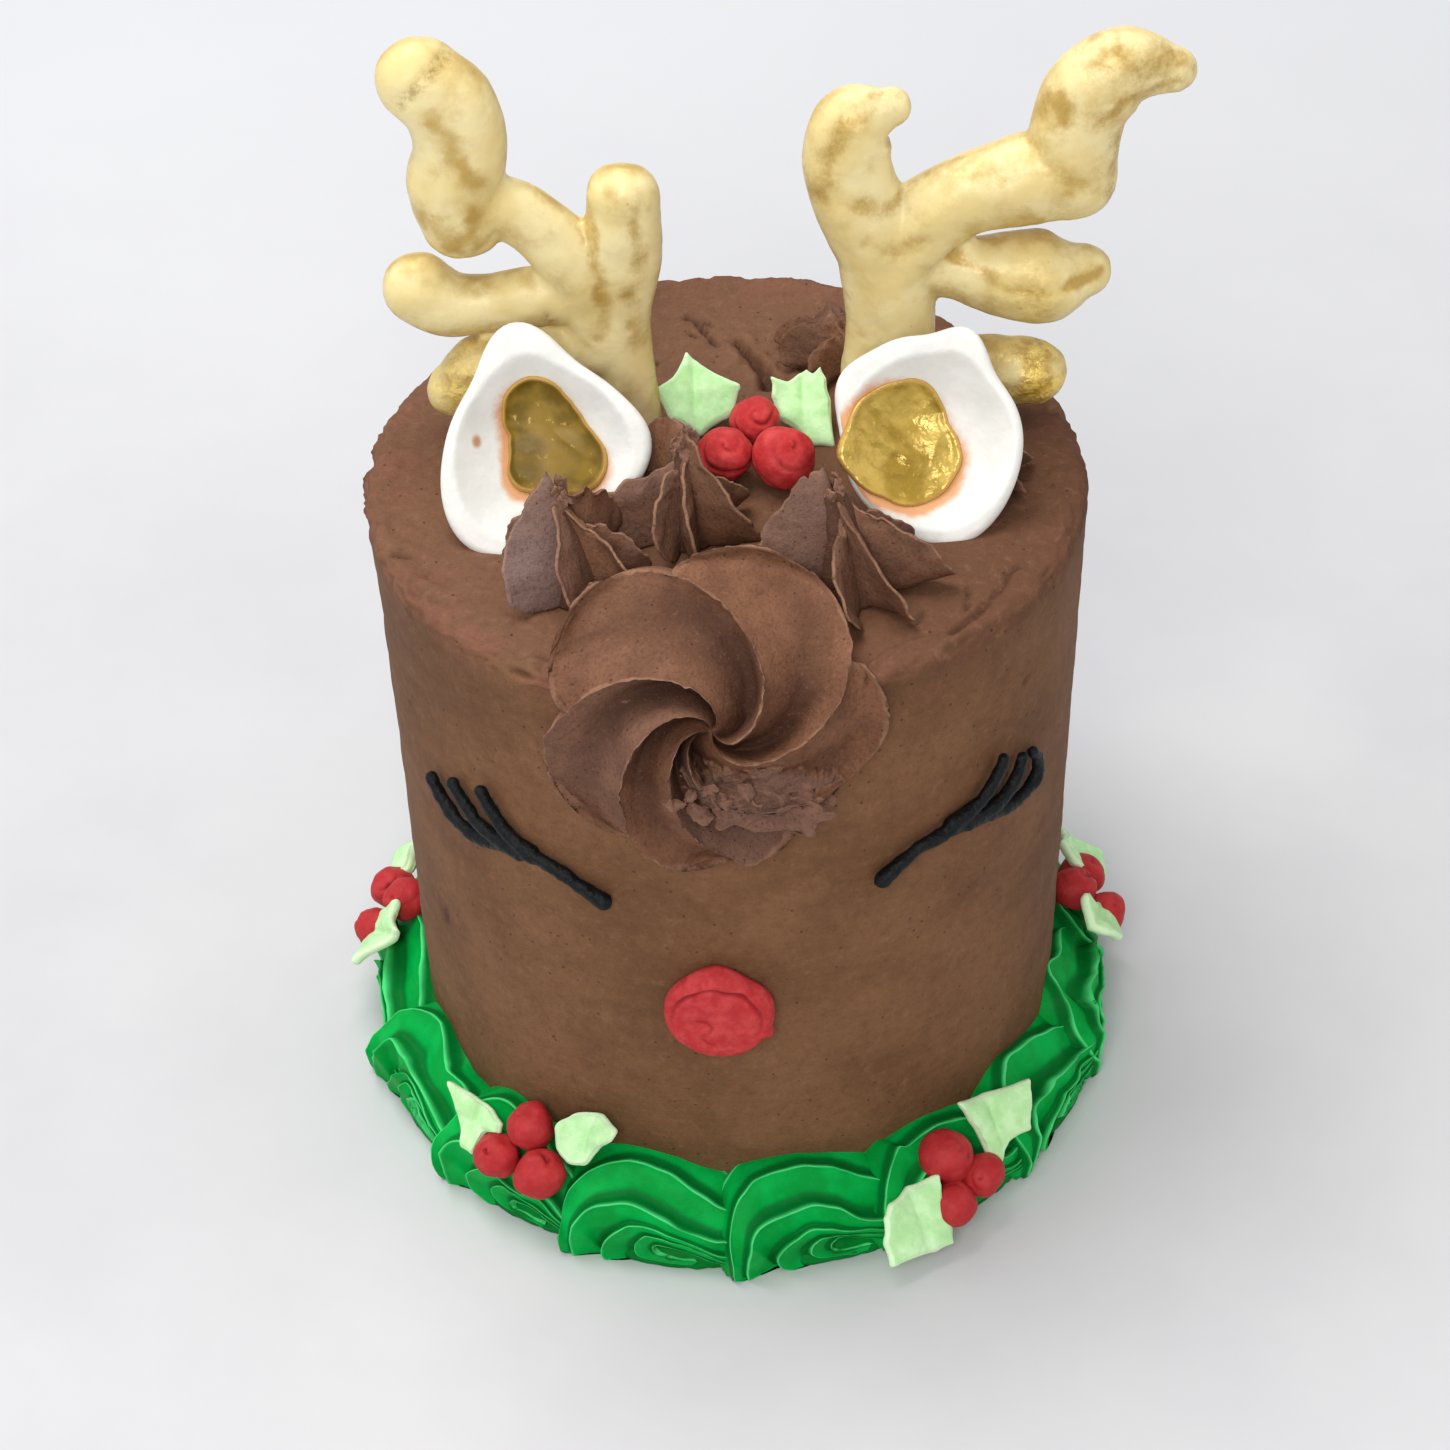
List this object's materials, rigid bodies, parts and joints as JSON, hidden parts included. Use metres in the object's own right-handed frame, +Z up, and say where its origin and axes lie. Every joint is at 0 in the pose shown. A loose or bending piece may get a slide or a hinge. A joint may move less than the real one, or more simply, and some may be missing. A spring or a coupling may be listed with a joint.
{
  "type": "christmas cake",
  "caption": "Tall round iced christmas cake with a sleeping reindeer's face, antlers and ears, a piped swirl, drop stars, holly and a ribbed piped border.",
  "frame": {"origin": "centre of the cake's flat base, on the surface that it stands on", "axes": "+Z up along the cake's axis, -Y out of its face, +X to the right of someone who looks at the face"},
  "size_m": [0.1355, 0.1304, 0.1778],
  "materials": {
    "chocolate_icing": "smooth matt chocolate buttercream",
    "chocolate_piping": "piped matt chocolate buttercream, slightly grainy",
    "white_icing": "satin white sugar paste, the middle painted gold",
    "gold_antler": "cream meringue brushed with gold lustre",
    "red_icing": "satin red buttercream",
    "black_icing": "matt black piped lines",
    "green_icing": "satin bright green buttercream",
    "pale_green_icing": "satin pale green buttercream"
  },
  "bodies": {
    "root": {"cake": "chocolate_icing", "rosette": "chocolate_piping", "star_left": "chocolate_piping", "star_centre": "chocolate_piping", "star_right": "chocolate_piping", "star_back": "chocolate_piping", "star_behind_ear": "chocolate_piping", "ear_left": "white_icing", "ear_right": "white_icing", "antler_left": "gold_antler", "antler_right": "gold_antler", "nose": "red_icing", "lash_left": "black_icing", "lash_right": "black_icing", "border": "green_icing", "top_leaf_left": "pale_green_icing", "top_leaf_right": "pale_green_icing", "top_berry_left": "red_icing", "top_berry_right": "red_icing", "top_berry_back": "red_icing", "front_left_berry_1": "red_icing", "front_left_berry_2": "red_icing", "front_left_berry_3": "red_icing", "front_left_leaf_1": "pale_green_icing", "front_left_leaf_2": "pale_green_icing", "front_right_berry_1": "red_icing", "front_right_berry_2": "red_icing", "front_right_berry_3": "red_icing", "front_right_leaf_1": "pale_green_icing", "front_right_leaf_2": "pale_green_icing", "right_berry_1": "red_icing", "right_berry_2": "red_icing", "right_berry_3": "red_icing", "right_leaf_1": "pale_green_icing", "right_leaf_2": "pale_green_icing", "back_right_berry_1": "red_icing", "back_right_berry_2": "red_icing", "back_right_berry_3": "red_icing", "back_right_leaf_1": "pale_green_icing", "back_right_leaf_2": "pale_green_icing", "back_left_berry_1": "red_icing", "back_left_berry_2": "red_icing", "back_left_berry_3": "red_icing", "back_left_leaf_1": "pale_green_icing", "back_left_leaf_2": "pale_green_icing", "left_berry_1": "red_icing", "left_berry_2": "red_icing", "left_berry_3": "red_icing", "left_leaf_1": "pale_green_icing", "left_leaf_2": "pale_green_icing"}
  },
  "joints": []
}
